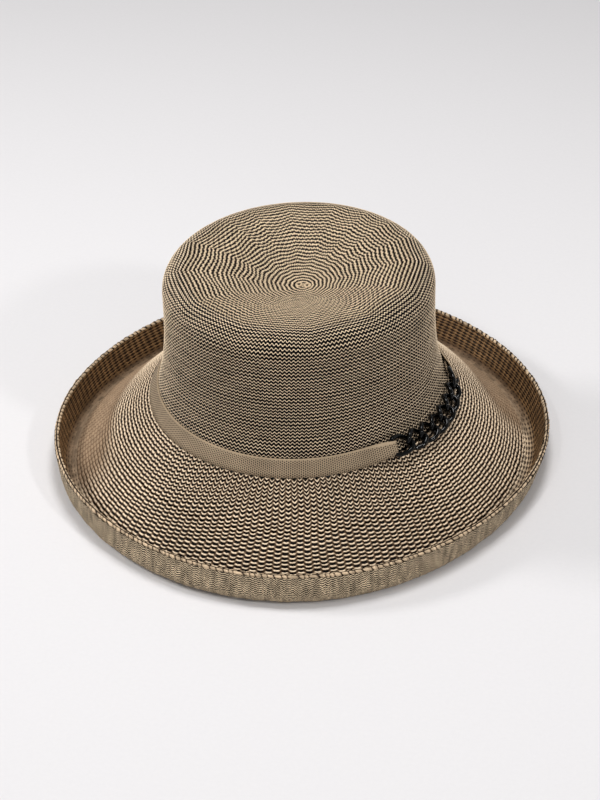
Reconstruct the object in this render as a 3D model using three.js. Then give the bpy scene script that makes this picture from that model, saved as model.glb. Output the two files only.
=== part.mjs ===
// Knitted breton hat with a ribbon band and a short curb chain, in millimetres.
// +Z is up, the hat's front faces -Y and its wearer's left is +X, where the chain lies.
// The origin is on the surface that the hat rests on, under the middle of its bounding box.
import * as THREE from 'three';

// Crown, measured on the outside of the knit
const HEAD_WIDTH = 176.8;
const HEAD_LENGTH = 199.6;
const TOP_WIDTH = 165.2;
const TOP_LENGTH = 180;
const TOP_FORWARD = 4;
const CROWN_HEIGHT = 78.4;
const SHOULDER_RADIUS = 13;
const DISH_DEPTH = 14.7;
const CROWN_WALL = 2;
// how late the side spreads on its way down to the band
const SIDE_FLARE = 3.3;

// Foot of the crown, which the band covers
const FOOT_HEIGHT = 10;
const FOOT_SPREAD = 5.5;

// Brim: a knit on top, a finer knit under it and a rolled edge that holds both
const ROOT_HEIGHT = 47.1;
const TURN_WIDTH = 287.6;
const TURN_LENGTH = 312.8;
const TURN_FORWARD = 2.6;
const TURN_RADIUS = 8;
const REST_WIDTH = 3;
const RIM_WIDTH = 311.4;
const RIM_LENGTH = 333.5;
const RIM_BACK = 2;
const RIM_HEIGHT = 20.9;
const RIM_ROLL = 1.7;
const BRIM_WALL = 1.5;
const FACING_WALL = 1.5;
// the four shallow waves in the plan of turn and rim
const PLAN_WAVE = 1.3;
const WAVE_CREST = THREE.MathUtils.degToRad(14.6);

// Closing knot in the middle of the top
const KNOT_RADIUS = 5.5;
const KNOT_THICKNESS = 1.4;

// Ribbon band
const BAND_WIDTH = 11.4;
const BAND_THICKNESS = 0.8;
const FOLD_LENGTH = 12;
const FOLD_EASE = 20;

// Chain
const LINK_COUNT = 8;
const LINK_LENGTH = 14.4;
const LINK_WIDTH = 10.8;
const LINK_WIRE = 2.4;
const LINK_PLAY = 0.35;
const LINK_TWIST = THREE.MathUtils.degToRad(40);
// 2 is an oval, more is squarer
const HELD_SQUARENESS = 5;
const CHAIN_START = THREE.MathUtils.degToRad(50.5);
const CHAIN_SAG = 4;
const CHAIN_LEAN = THREE.MathUtils.degToRad(9);
const CHAIN_LIFT = 0.9;

// Clearance between pieces that touch on the real hat
const GAP = 0.3;

// Fineness of the faceted solids
const AROUND = 56;
const LINK_STEPS = 18;
const WIRE_SIDES = 6;

// Colours and finishes
const KNIT = new THREE.MeshStandardMaterial({ color: '#a8937a', roughness: 0.9, metalness: 0 });
const FACING_KNIT = new THREE.MeshStandardMaterial({ color: '#9c886e', roughness: 0.9, metalness: 0 });
const RIBBON = new THREE.MeshStandardMaterial({ color: '#a69077', roughness: 0.85, metalness: 0 });
const BLACK_METAL = new THREE.MeshStandardMaterial({ color: '#131316', roughness: 0.25, metalness: 0.4 });

const BAND_TOP_HEIGHT = ROOT_HEIGHT + FOOT_HEIGHT;
const CREST_HEIGHT = BAND_TOP_HEIGHT + CROWN_HEIGHT;
const UP = new THREE.Vector3(0, 0, 1);

const mix = (from, to, share) => from + (to - from) * share;
const spread = (count) => Array.from({ length: count }, (_, i) => (i / count) * 2 * Math.PI);
const between = (from, to, count) => Array.from({ length: count }, (_, i) => mix(from, to, i / (count - 1)));

// A point of an oval at an angle from the front; angles grow toward +X
function onOval(halfWidth, halfLength, shift, height, angle) {
  return new THREE.Vector3(halfWidth * Math.sin(angle), shift - halfLength * Math.cos(angle), height);
}

// A closed mesh through rings of equal length, with a tip at each end, or capped, or joined end to end
function meshThroughRings(rings, { tips = null, caps = false, loop = false }) {
  const size = rings[0].length;
  const vertices = rings.flat();
  const faces = [];
  const last = loop ? rings.length : rings.length - 1;
  for (let row = 0; row < last; row += 1) {
    const here = row * size;
    const next = ((row + 1) % rings.length) * size;
    for (let i = 0; i < size; i += 1) {
      const j = (i + 1) % size;
      faces.push([here + i, next + i, next + j], [here + i, next + j, here + j]);
    }
  }
  const endRow = (rings.length - 1) * size;
  if (tips) {
    const [first, second] = [vertices.length, vertices.length + 1];
    vertices.push(...tips);
    for (let i = 0; i < size; i += 1) {
      const j = (i + 1) % size;
      faces.push([first, i, j], [second, endRow + j, endRow + i]);
    }
  }
  if (caps) {
    for (let i = 1; i < size - 1; i += 1) {
      faces.push([0, i, i + 1], [endRow, endRow + i + 1, endRow + i]);
    }
  }
  return closedGeometry(vertices, faces);
}

// A closed wall between two like grids of points: loops round the hat, cut open along their stations.
// Both sides split their squares the same way, so nested walls stay parallel.
function wallBetween(upper, lower) {
  const [rows, size] = [upper.length, upper[0].length];
  const vertices = [...upper.flat(), ...lower.flat()];
  const faces = [];
  for (let row = 0; row < rows; row += 1) {
    const here = row * size;
    const next = ((row + 1) % rows) * size;
    const below = rows * size;
    for (let i = 0; i < size - 1; i += 1) {
      const [a, b, c, d] = [here + i, next + i, next + i + 1, here + i + 1];
      faces.push([a, b, c], [a, c, d]);
      faces.push([below + a, below + c, below + b], [below + a, below + d, below + c]);
    }
    for (const [edge, flip] of [[0, false], [size - 1, true]]) {
      const [a, b] = flip ? [next + edge, here + edge] : [here + edge, next + edge];
      faces.push([a, below + b, b], [a, below + a, below + b]);
    }
  }
  return closedGeometry(vertices, faces);
}

function closedGeometry(vertices, faces) {
  const geometry = new THREE.BufferGeometry();
  geometry.setAttribute('position', new THREE.Float32BufferAttribute(vertices.flatMap((p) => p.toArray()), 3));
  geometry.setIndex(facesOut(vertices, faces).flat());
  geometry.computeVertexNormals();
  return geometry;
}

// Turns all faces over where the closed mesh would be inside out
function facesOut(vertices, faces) {
  const volume = faces.reduce((sum, [a, b, c]) => {
    const cross = new THREE.Vector3().crossVectors(vertices[b], vertices[c]);
    return sum + vertices[a].dot(cross);
  }, 0);
  return volume > 0 ? faces : faces.map(([a, b, c]) => [a, c, b]);
}

function piece(name, geometry, material) {
  const mesh = new THREE.Mesh(geometry, material);
  mesh.name = name;
  return mesh;
}

// Crown
const CREST_HALF_WIDTH = TOP_WIDTH / 2 - SHOULDER_RADIUS;
const CREST_HALF_LENGTH = TOP_LENGTH / 2 - SHOULDER_RADIUS;

function dishPoint(share, inset, angle) {
  const sink = DISH_DEPTH * (0.5 + 0.5 * Math.cos(Math.PI * share));
  const height = CREST_HEIGHT - sink - inset;
  return onOval(CREST_HALF_WIDTH * share, CREST_HALF_LENGTH * share, -TOP_FORWARD, height, angle);
}

function shoulderPoint(turn, inset, angle) {
  const reach = (SHOULDER_RADIUS - inset) * Math.sin(turn);
  const height = CREST_HEIGHT - SHOULDER_RADIUS + (SHOULDER_RADIUS - inset) * Math.cos(turn);
  return onOval(CREST_HALF_WIDTH + reach, CREST_HALF_LENGTH + reach, -TOP_FORWARD, height, angle);
}

function sidePoint(down, inset, angle) {
  const out = down ** SIDE_FLARE;
  const halfWidth = mix(TOP_WIDTH, HEAD_WIDTH, out) / 2 - inset;
  const halfLength = mix(TOP_LENGTH, HEAD_LENGTH, out) / 2 - inset;
  const height = mix(CREST_HEIGHT - SHOULDER_RADIUS, BAND_TOP_HEIGHT, down);
  return onOval(halfWidth, halfLength, -TOP_FORWARD * (1 - down), height, angle);
}

function footPoint(down, inset, angle) {
  const out = FOOT_SPREAD * down - inset;
  return onOval(HEAD_WIDTH / 2 + out, HEAD_LENGTH / 2 + out, 0, BAND_TOP_HEIGHT - FOOT_HEIGHT * down, angle);
}

function makeCrown() {
  const angles = spread(AROUND);
  // the crown ends half way down the foot, just short of the brim's own edge
  const footEnd = 0.5 - GAP / FOOT_HEIGHT;
  const layer = (inset) => [
    ...[0.12, 0.3, 0.5, 0.7, 0.86].map((share) => angles.map((t) => dishPoint(share, inset, t))),
    ...between(0, Math.PI / 2, 5).map((turn) => angles.map((t) => shoulderPoint(turn, inset, t))),
    ...[0.35, 0.6, 0.78, 0.9, 1].map((down) => angles.map((t) => sidePoint(down, inset, t))),
    angles.map((t) => footPoint(footEnd, inset, t)),
  ];
  const rings = [...layer(0), ...layer(CROWN_WALL).reverse()];
  return meshThroughRings(rings, { tips: [dishPoint(0, 0, 0), dishPoint(0, CROWN_WALL, 0)] });
}

function makeKnot() {
  const seat = CREST_HEIGHT - DISH_DEPTH + GAP + 0.35;
  const profile = [
    [0, seat],
    [KNOT_RADIUS * 0.8, seat],
    [KNOT_RADIUS, seat + KNOT_THICKNESS * 0.45],
    [KNOT_RADIUS * 0.72, seat + KNOT_THICKNESS],
    [KNOT_RADIUS * 0.3, seat + KNOT_THICKNESS * 0.85],
    [0, seat + KNOT_THICKNESS * 0.7],
  ];
  const rings = profile.slice(1, -1).map(([r, z]) => spread(16).map((t) => onOval(r, r, -TOP_FORWARD, z, t)));
  const tips = [profile[0], profile.at(-1)].map(([r, z]) => onOval(r, r, -TOP_FORWARD, z, 0));
  return meshThroughRings(rings, { tips });
}

// Brim. Its section is drawn in the upright plane that holds the root and the middle of the turn.
const BRIM_DEPTH = BRIM_WALL + GAP + FACING_WALL;
const UPPER_TURN = TURN_RADIUS - BRIM_DEPTH;
const TURN_HEIGHT = Math.sqrt(TURN_RADIUS ** 2 - (REST_WIDTH / 2) ** 2);
const REST_HALF_ANGLE = Math.asin(REST_WIDTH / 2 / TURN_RADIUS);
const DOWN_ANGLE = -Math.PI / 2;

const planWave = (angle) => PLAN_WAVE * Math.cos(4 * (angle - WAVE_CREST));

function turnPoint(angle) {
  const wave = planWave(angle);
  return onOval(TURN_WIDTH / 2 + wave, TURN_LENGTH / 2 + wave, -TURN_FORWARD, TURN_HEIGHT, angle);
}

function rimPoint(angle) {
  const wave = planWave(angle) - RIM_ROLL;
  return onOval(RIM_WIDTH / 2 + wave, RIM_LENGTH / 2 + wave, RIM_BACK, RIM_HEIGHT - RIM_ROLL, angle);
}

// The section's frame and its driving angles at one place round the brim
function brimSection(angle) {
  const root = footPoint(1, 0, angle);
  const turn = turnPoint(angle);
  const rim = rimPoint(angle);
  const out = turn.clone().sub(root).setZ(0);
  const turnReach = out.length();
  out.normalize();
  const flat = (p) => new THREE.Vector2(p.clone().sub(root).dot(out), p.z);
  const [rootAt, turnAt, rimAt, footAt] = [root, turn, rim, footPoint(0.5, 0, angle)].map(flat);
  const toTurn = turnAt.clone().sub(rootAt);
  const slope = toTurn.angle() - 2 * Math.PI - Math.asin(UPPER_TURN / toTurn.length());
  const toRim = rimAt.clone().sub(turnAt);
  const middleTurn = UPPER_TURN + BRIM_DEPTH / 2;
  return {
    root,
    out,
    turnReach,
    rootAt,
    turnAt,
    footAt,
    slope,
    turnEnd: toRim.angle() - Math.acos(middleTurn / toRim.length()),
    wallLength: Math.sqrt(toRim.lengthSq() - middleTurn ** 2),
  };
}

const direction = (angle) => new THREE.Vector2(Math.cos(angle), Math.sin(angle));

// The brim's section at a depth below its upper face, from under the band to the rim
function brimLine(section, inset, wallEnd) {
  const { rootAt, turnAt, footAt, slope, turnEnd } = section;
  const rise = rootAt.clone().sub(footAt);
  const footNormal = direction(rise.angle() + Math.PI / 2);
  const slopeNormal = direction(slope + Math.PI / 2);
  const mitre = footNormal.clone().add(slopeNormal);
  mitre.multiplyScalar(1 / mitre.dot(slopeNormal));
  const radius = UPPER_TURN + inset;
  const start = footAt.clone().addScaledVector(footNormal, -inset);
  const corner = rootAt.clone().addScaledVector(mitre, -inset);
  const onTurn = (angle) => turnAt.clone().addScaledVector(direction(angle), radius);
  const turnStart = slope + DOWN_ANGLE;
  const touch = onTurn(turnStart);
  const restAngles = [DOWN_ANGLE - REST_HALF_ANGLE, DOWN_ANGLE + REST_HALF_ANGLE];
  const wallFoot = onTurn(turnEnd);
  const wallWay = direction(turnEnd + Math.PI / 2);
  return [
    start,
    corner,
    ...[0.35, 0.7].map((share) => corner.clone().lerp(touch, share)),
    touch,
    ...restAngles.map(onTurn),
    onTurn(mix(restAngles[1], turnEnd, 0.5)),
    wallFoot,
    wallFoot.clone().addScaledVector(wallWay, wallEnd(section)),
  ];
}

function lift(section, p) {
  return section.root.clone().setZ(0).addScaledVector(section.out, p.x).addScaledVector(UP, p.y);
}

const layerEnd = (section) => section.wallLength - RIM_ROLL - GAP;

function makeBrimLayer(depth, wall) {
  const sections = spread(AROUND).map(brimSection);
  const face = (inset) => sections.map((section) =>
    brimLine(section, inset, layerEnd).map((p) => lift(section, p)));
  return wallBetween(face(depth), face(depth + wall));
}

// The rolled edge caps the two layers
function rimCentre(section) {
  const { turnAt, turnEnd, wallLength } = section;
  const foot = turnAt.clone().addScaledVector(direction(turnEnd), UPPER_TURN + BRIM_DEPTH / 2);
  return foot.addScaledVector(direction(turnEnd + Math.PI / 2), wallLength);
}

function makeRimEdge() {
  const sections = spread(AROUND).map(brimSection);
  const rings = sections.map((section) => {
    const centre = rimCentre(section);
    return spread(WIRE_SIDES).map((turn) =>
      lift(section, centre.clone().addScaledVector(direction(turn), RIM_ROLL)));
  });
  return meshThroughRings(rings, { loop: true });
}

// The foot's own directions at one angle: along the band, down the foot, and out of the knit
function footFrame(angle) {
  const step = 1e-3;
  const middle = footPoint(0.5, 0, angle);
  const along = footPoint(0.5, 0, angle + step).sub(footPoint(0.5, 0, angle - step));
  const speed = along.length() / (2 * step);
  const down = footPoint(1, 0, angle).sub(footPoint(0, 0, angle)).normalize();
  along.normalize();
  return { middle, along, down, out: along.clone().cross(down).negate().normalize(), speed };
}

// Chain. Its middle line starts and ends on the bars that the ribbon's folds hold.
const LINK_PITCH = LINK_LENGTH - LINK_WIRE - LINK_PLAY;
const CHAIN_LENGTH = LINK_LENGTH + (LINK_COUNT - 1) * LINK_PITCH;
const LINK_HALF_DEPTH = (LINK_WIDTH / 2) * Math.sin(LINK_TWIST) * 0.58 + LINK_WIRE / 2;
const BAR_HEIGHT = LINK_HALF_DEPTH + GAP;

function chainPoint(angle, end) {
  const share = THREE.MathUtils.clamp((angle - CHAIN_START) / (end - CHAIN_START), 0, 1);
  const bow = Math.sin(Math.PI * share);
  const frame = footFrame(angle);
  const out = frame.out.clone().applyAxisAngle(frame.along, -CHAIN_LEAN * bow);
  const point = frame.middle.clone().addScaledVector(frame.down, CHAIN_SAG * bow);
  return { point: point.addScaledVector(frame.out, BAR_HEIGHT + CHAIN_LIFT * bow), out };
}

// Angles along the chain's middle line at the given distances from its start
function chainAngles(end, distances) {
  const steps = 400;
  const found = [];
  let travelled = 0;
  let before = chainPoint(CHAIN_START, end).point;
  for (let i = 1; i <= steps && found.length < distances.length; i += 1) {
    const angle = mix(CHAIN_START, end, i / steps);
    const here = chainPoint(angle, end).point;
    travelled += here.distanceTo(before);
    before = here;
    while (found.length < distances.length && travelled >= distances[found.length]) {
      found.push(angle);
    }
  }
  return found;
}

// The angle where the chain has run out to its whole length
function chainEnd() {
  let [near, far] = [CHAIN_START, CHAIN_START + Math.PI];
  for (let i = 0; i < 30; i += 1) {
    const middle = (near + far) / 2;
    const reached = chainAngles(middle, [CHAIN_LENGTH]).length > 0;
    [near, far] = reached ? [near, middle] : [middle, far];
  }
  return far;
}

const CHAIN_END = chainEnd();

// A twisted oval link along +X. An end that the ribbon holds lies flat and is squared off to a bar.
function linkRings({ heldStart, heldEnd }) {
  const centre = (turn) => {
    const [cosine, sine] = [Math.cos(turn), Math.sin(turn)];
    const power = (cosine < 0 ? heldStart : heldEnd) ? 2 / HELD_SQUARENESS : 1;
    const x = (LINK_LENGTH / 2) * Math.sign(cosine) * Math.abs(cosine) ** power;
    const y = (LINK_WIDTH / 2) * Math.sign(sine) * Math.abs(sine) ** power;
    const twist = mix(heldStart ? 0 : -LINK_TWIST, heldEnd ? 0 : LINK_TWIST, x / LINK_LENGTH + 0.5);
    return new THREE.Vector3(x, y * Math.cos(twist), y * Math.sin(twist));
  };
  const turns = spread(LINK_STEPS);
  return turns.map((turn) => {
    const at = centre(turn);
    const along = centre(turn + 0.01).sub(centre(turn - 0.01)).normalize();
    const outward = at.clone().addScaledVector(along, -at.dot(along)).normalize();
    const side = along.clone().cross(outward);
    return spread(WIRE_SIDES).map((s) =>
      at.clone()
        .addScaledVector(outward, (LINK_WIRE / 2) * Math.cos(s))
        .addScaledVector(side, (LINK_WIRE / 2) * Math.sin(s)));
  });
}

// Where each link lies: its middle, and its directions as in footFrame
function linkPlaces() {
  const distances = Array.from({ length: LINK_COUNT }, (_, i) => LINK_LENGTH / 2 + i * LINK_PITCH);
  return chainAngles(CHAIN_END, distances).map((angle) => {
    const step = 1e-2;
    const { point, out } = chainPoint(angle, CHAIN_END);
    const along = chainPoint(angle + step, CHAIN_END).point;
    along.sub(chainPoint(angle - step, CHAIN_END).point).normalize();
    const down = along.clone().cross(out).normalize();
    return { middle: point, along, down, out: down.clone().cross(along) };
  });
}

const LINK_PLACES = linkPlaces();

function makeLinks() {
  return LINK_PLACES.map(({ middle, along, down, out }, i) => {
    const rings = linkRings({ heldStart: i === 0, heldEnd: i === LINK_COUNT - 1 });
    const geometry = meshThroughRings(rings, { loop: true });
    const across = down.clone().negate();
    geometry.applyMatrix4(new THREE.Matrix4().makeBasis(along, across, out).setPosition(middle));
    return piece(`link_${String(i + 1).padStart(2, '0')}`, geometry, BLACK_METAL);
  });
}

// Ribbon. Each end folds back round a chain link's bar and lies under itself.
const NOSE_RADIUS = LINK_WIRE / 2 + GAP + BAND_THICKNESS / 2;
const NOSE_WIDTH = LINK_WIDTH - LINK_WIRE - 4 * GAP;
const FLAT_LIFT = GAP + BAND_THICKNESS / 2;

// Stations of one folded end, from the tail under the ribbon to where it lies flat again:
// distance from the bar, height over the knit and width as shares of the sizes named beside them
function foldStations() {
  const under = [
    { back: 1, rise: 0 },
    { back: 0.5, rise: 0.4 },
    { back: 0, rise: 1 },
  ].map(({ back, rise }) => ({
    back: back * FOLD_LENGTH,
    height: mix(FLAT_LIFT, BAR_HEIGHT - NOSE_RADIUS, rise),
    turn: -Math.PI / 2,
    width: NOSE_WIDTH,
  }));
  const nose = between(-Math.PI / 2, Math.PI / 2, 5).slice(1, -1).map((turn) => ({
    back: -NOSE_RADIUS * Math.cos(turn),
    height: BAR_HEIGHT + NOSE_RADIUS * Math.sin(turn),
    turn,
    width: NOSE_WIDTH,
  }));
  const over = [
    { back: 0, fall: 0, widen: 0 },
    { back: 0.25, fall: 0.22, widen: 0.7 },
    { back: 0.6, fall: 0.68, widen: 1 },
    { back: 1, fall: 1, widen: 1 },
  ].map(({ back, fall, widen }) => ({
    back: back * FOLD_EASE,
    height: mix(BAR_HEIGHT + NOSE_RADIUS, FLAT_LIFT, fall),
    turn: Math.PI / 2,
    width: mix(NOSE_WIDTH, BAND_WIDTH, widen),
  }));
  return [...under, ...nose, ...over];
}

// The bar of a link that the ribbon holds; away is +1 where the ribbon leaves it toward growing angles
function heldBar(link, angle, away) {
  const middle = link.middle.clone().addScaledVector(link.along, (away * LINK_LENGTH) / 2);
  return { ...link, middle: middle.addScaledVector(link.out, -BAR_HEIGHT), angle, away };
}

// Four corners of the ribbon's section, which turns from the link's directions to the crown's own
function foldCorners(bar, station) {
  const { angle, away } = bar;
  const back = Math.max(station.back, 0);
  const start = footFrame(angle);
  const here = footFrame(angle + (away * back) / start.speed);
  const settled = THREE.MathUtils.smoothstep(back, 0, FOLD_LENGTH);
  const blend = (key) => bar[key].clone().lerp(here[key], settled).normalize();
  const frame = { along: blend('along'), down: blend('down'), out: blend('out') };
  const stray = bar.middle.clone().sub(start.middle).multiplyScalar(1 - settled);
  const middle = here.middle.clone().add(stray);
  middle.addScaledVector(frame.along, Math.min(station.back, 0) * away);
  return bandCorners({ ...frame, middle }, away, station);
}

function bandCorners({ middle, along, down, out }, away, { height, turn, width }) {
  const centre = middle.clone().addScaledVector(out, height);
  const face = out.clone().multiplyScalar(Math.sin(turn)).addScaledVector(along, -away * Math.cos(turn));
  const corner = (side, layer) => centre.clone()
    .addScaledVector(down, (side * width) / 2)
    .addScaledVector(face, (layer * BAND_THICKNESS) / 2);
  return [corner(-1, -1), corner(1, -1), corner(1, 1), corner(-1, 1)];
}

function makeBand() {
  const ends = foldStations();
  const flat = { height: FLAT_LIFT, turn: Math.PI / 2, width: BAND_WIDTH };
  const startBar = heldBar(LINK_PLACES[0], CHAIN_START, -1);
  const endBar = heldBar(LINK_PLACES.at(-1), CHAIN_END, 1);
  const from = CHAIN_START - FOLD_EASE / footFrame(CHAIN_START).speed;
  const to = CHAIN_END + FOLD_EASE / footFrame(CHAIN_END).speed - 2 * Math.PI;
  const run = between(from, to, Math.round(AROUND * 0.8)).slice(1, -1);
  const rings = [
    ...ends.map((station) => foldCorners(startBar, station)),
    ...run.map((angle) => bandCorners(footFrame(angle), 1, flat)),
    ...[...ends].reverse().map((station) => foldCorners(endBar, station)),
  ];
  return meshThroughRings(rings, { caps: true });
}

const pieces = new THREE.Group();
pieces.add(
  piece('crown', makeCrown(), KNIT),
  piece('closing_knot', makeKnot(), KNIT),
  piece('brim', makeBrimLayer(0, BRIM_WALL), KNIT),
  piece('brim_facing', makeBrimLayer(BRIM_WALL + GAP, FACING_WALL), FACING_KNIT),
  piece('rim_edge', makeRimEdge(), KNIT),
  piece('band', makeBand(), RIBBON),
  ...makeLinks(),
);
const middle = new THREE.Box3().setFromObject(pieces).getCenter(new THREE.Vector3());
pieces.position.set(-middle.x, -middle.y, 0);

const hat = new THREE.Group();
hat.add(pieces);

export default hat;
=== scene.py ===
"""Knitted breton hat with a ribbon band and a short black curb chain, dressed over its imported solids.

Sizes are in millimetres until a mesh is written, which is in metres. +Z is up, the front faces -Y.
Angles are measured from the front and grow toward +X, where the chain lies.
"""

import bpy
import numpy as np
from bpy.props import FloatProperty, IntProperty, PointerProperty
from mathutils import Matrix, Vector


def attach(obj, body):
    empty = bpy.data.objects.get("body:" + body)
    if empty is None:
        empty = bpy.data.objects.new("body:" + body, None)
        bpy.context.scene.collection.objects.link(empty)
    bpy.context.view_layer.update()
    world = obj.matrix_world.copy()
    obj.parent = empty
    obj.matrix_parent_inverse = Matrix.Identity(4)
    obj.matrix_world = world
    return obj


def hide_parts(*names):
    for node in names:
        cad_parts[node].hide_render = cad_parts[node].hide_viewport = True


bl_info = {
    "name": "Knitted breton hat",
    "version": (1, 0, 0),
    "blender": (4, 5, 0),
    "location": "View3D > Sidebar > Hat",
    "description": "Knits, trims and stages a breton hat over its solids",
    "category": "Object",
}

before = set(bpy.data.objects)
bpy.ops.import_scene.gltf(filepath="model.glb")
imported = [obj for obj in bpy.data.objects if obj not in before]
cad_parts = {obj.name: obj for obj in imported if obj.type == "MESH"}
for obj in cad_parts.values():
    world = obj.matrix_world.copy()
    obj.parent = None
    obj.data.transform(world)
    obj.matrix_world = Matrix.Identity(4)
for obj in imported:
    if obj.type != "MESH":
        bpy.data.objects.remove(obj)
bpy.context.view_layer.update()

MM = 0.001
TAU = 2 * np.pi

# The crown, as in the solids
HEAD = (176.8, 199.6)
TOP = (165.2, 180.0)
TOP_FORWARD = 4.0
CROWN_HEIGHT = 78.4
SHOULDER_RADIUS = 13.0
DISH_DEPTH = 14.7
CROWN_WALL = 2.0
SIDE_FLARE = 3.3
FOOT_HEIGHT = 10.0
FOOT_SPREAD = 5.5

# The brim, as in the solids
ROOT_HEIGHT = 47.1
TURN = (287.6, 312.8)
TURN_FORWARD = 2.6
TURN_RADIUS = 8.0
REST_WIDTH = 3.0
RIM = (311.4, 333.5)
RIM_BACK = 2.0
RIM_HEIGHT = 20.9
RIM_ROLL = 1.7
BRIM_DEPTH = 3.3
PLAN_WAVE = 1.3
WAVE_CREST = np.radians(14.6)

# How far the solids are moved to stand with the middle of their box over the origin
CENTRING = np.array([-0.0064, -0.9649, 0.0])

BAND_TOP = ROOT_HEIGHT + FOOT_HEIGHT
CREST = BAND_TOP + CROWN_HEIGHT
UPPER_TURN = TURN_RADIUS - BRIM_DEPTH
TURN_HEIGHT = np.sqrt(TURN_RADIUS ** 2 - (REST_WIDTH / 2) ** 2)

# Courses of the knit on each stretch of the outside, counted from the middle of the top
DISH_COURSES = 27
SHOULDER_COURSES = 9
SIDE_COURSES = 30
FOOT_COURSES = 5
SIDE_START = DISH_COURSES + SHOULDER_COURSES
FOOT_START = SIDE_START + SIDE_COURSES
CROWN_END = FOOT_START + FOOT_COURSES

# Courses of the brim, counted from its root; the last one stops short of the rim
SLOPE_COURSES = 26
TURN_COURSES = 13
BRIM_END = SLOPE_COURSES + TURN_COURSES - 0.2

# Stitches of one course round the hat where the knit is fine, and of the overcast edge
LINING_STITCHES = 198
FACING_STITCHES = 260
FACING_ROWS = 1.85
EDGE_STITCHES = 240

# The rings of the top close a little toward the chain's side
CLOSING_X = 2.6

# Corners of the top's courses, which lie round the middle like many-sided rings
TOP_CORNERS = np.radians([-160, -140, -125, -98, -72, -42, -12, 20, 50, 78, 104, 126, 143, 158, 176])

# The chain runs as in the solids. Its links are a little wider, lean further back and twist the other way
LINK_COUNT = 8
LINK_LENGTH = 14.4
LINK_WIDTH = 11.4
LINK_WIRE = 2.4
LINK_ENAMEL = 0.25
LINK_PLAY = 0.35
LINK_PITCH = LINK_LENGTH - LINK_WIRE - LINK_PLAY
LINK_TWIST = np.radians(40)
HELD_SQUARENESS = 5
CHAIN_START = np.radians(50.5)
CHAIN_SAG = 4.0
CHAIN_LEAN = np.radians(34)
CHAIN_FAR_LEAN = np.radians(10)
CHAIN_LIFT = 0.4

# The bars that the ribbon's folds hold stand this far off the crown, and the knit is dented behind them
BAR_GAP = 0.3
BAR_HEIGHT = (LINK_WIDTH / 2) * np.sin(LINK_TWIST) * 0.58 + LINK_WIRE / 2 + BAR_GAP
CHAIN_DENT = 1.4

# The width of the ribbon's stitch columns, which are laid round a circle of about the band's radius
RIBBON_COLUMN = 1.3
BAND_RADIUS = 95

# The camera: distances in millimetres, angles in degrees, focal length and shift in pixels
CAMERA_TARGET = (0.0, 0.0, 36.5)
CAMERA_DISTANCE = 1397.9
CAMERA_ELEVATION = 32.8
CAMERA_AZIMUTH = 13.9
CAMERA_ROLL = -0.5
CAMERA_FOCAL = 2208.5
CAMERA_SHIFT = (-1.6, -2.7)
PICTURE_HEIGHT = 800
SENSOR = 36.0

# The lamps: name, place and width in metres, and power in watts
LAMPS = (
    ("Overhead softbox", (0.05, 0.15, 1.35), 0.5, 9.3),
    ("Left softbox", (-1.4, -0.1, 0.95), 0.4, 10.6),
    ("Right softbox", (1.2, -0.8, 1.1), 0.15, 6),
    ("Bare lamp", (-0.3, -0.9, 1.3), 0.06, 2.2),
    ("Front fill", (0.0, -1.7, 1.0), 1.2, 3),
)
WORLD_LIGHT = 0.3

# The floor lies just under the hat and reaches past the picture's edges; in metres
FLOOR_LEFT = -4
FLOOR_RIGHT = 4
FLOOR_FRONT = -4
FLOOR_BACK = 6
FLOOR_HEIGHT = -0.0003


def mix(low, high, share):
    return low + (high - low) * share


def smooth(low, high, value):
    """A soft blend from 0 at one value to 1 at the other."""
    share = np.clip((value - low) / (high - low), 0, 1)
    return share * share * (3 - 2 * share)


def smooth_turn(low, high, t):
    """The same blend between two angles in degrees."""
    return smooth(np.radians(low), np.radians(high), t)


def oval(half_width, half_length, shift, height, t):
    """A point of an oval at an angle from the front."""
    x = half_width * np.sin(t)
    y = shift - half_length * np.cos(t)
    return np.stack(np.broadcast_arrays(x, y, height), axis=-1)


def ripple(t, seed, waves=9, size=1.0):
    """A smooth random curve round the hat, the same on each run."""
    dice = np.random.default_rng(seed)
    value = np.zeros_like(t)
    for wave in range(1, waves + 1):
        value = value + dice.normal() * np.sin(wave * t + dice.uniform(0, TAU))
    return size * value / np.sqrt(waves)


# Crown surface: course 0 is the middle of the top, then dish, shoulder, side and foot
def crown_at(course, t, inset=0.0):
    crest_x = TOP[0] / 2 - SHOULDER_RADIUS
    crest_y = TOP[1] / 2 - SHOULDER_RADIUS
    share = np.clip(course / DISH_COURSES, 0, 1)
    sink = DISH_DEPTH * (0.5 + 0.5 * np.cos(np.pi * share))
    dish = oval(crest_x * share, crest_y * share, -TOP_FORWARD, CREST - sink - inset, t)
    slide = np.broadcast_to(CLOSING_X * (1 - share) ** 2, dish.shape[:-1])
    dish = dish + slide[..., None] * np.array([1.0, 0.0, 0.0])

    turn = np.clip((course - DISH_COURSES) / SHOULDER_COURSES, 0, 1) * np.pi / 2
    reach = (SHOULDER_RADIUS - inset) * np.sin(turn)
    height = CREST - SHOULDER_RADIUS + (SHOULDER_RADIUS - inset) * np.cos(turn)
    shoulder = oval(crest_x + reach, crest_y + reach, -TOP_FORWARD, height, t)

    down = np.clip((course - SIDE_START) / SIDE_COURSES, 0, 1)
    # the courses lie closer towards the flared foot
    down = down * (1.1 - 0.1 * down)
    out = down ** SIDE_FLARE
    half_x = mix(TOP[0], HEAD[0], out) / 2 - inset
    half_y = mix(TOP[1], HEAD[1], out) / 2 - inset
    height = mix(CREST - SHOULDER_RADIUS, BAND_TOP, down)
    side = oval(half_x, half_y, -TOP_FORWARD * (1 - down), height, t)

    down = np.clip((course - FOOT_START) / FOOT_COURSES, 0, 1)
    foot = foot_at(down, t, inset)

    course = np.broadcast_to(course, dish.shape[:-1])[..., None]
    value = np.where(course <= DISH_COURSES, dish, shoulder)
    value = np.where(course > SIDE_START, side, value)
    return np.where(course > FOOT_START, foot, value)


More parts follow.
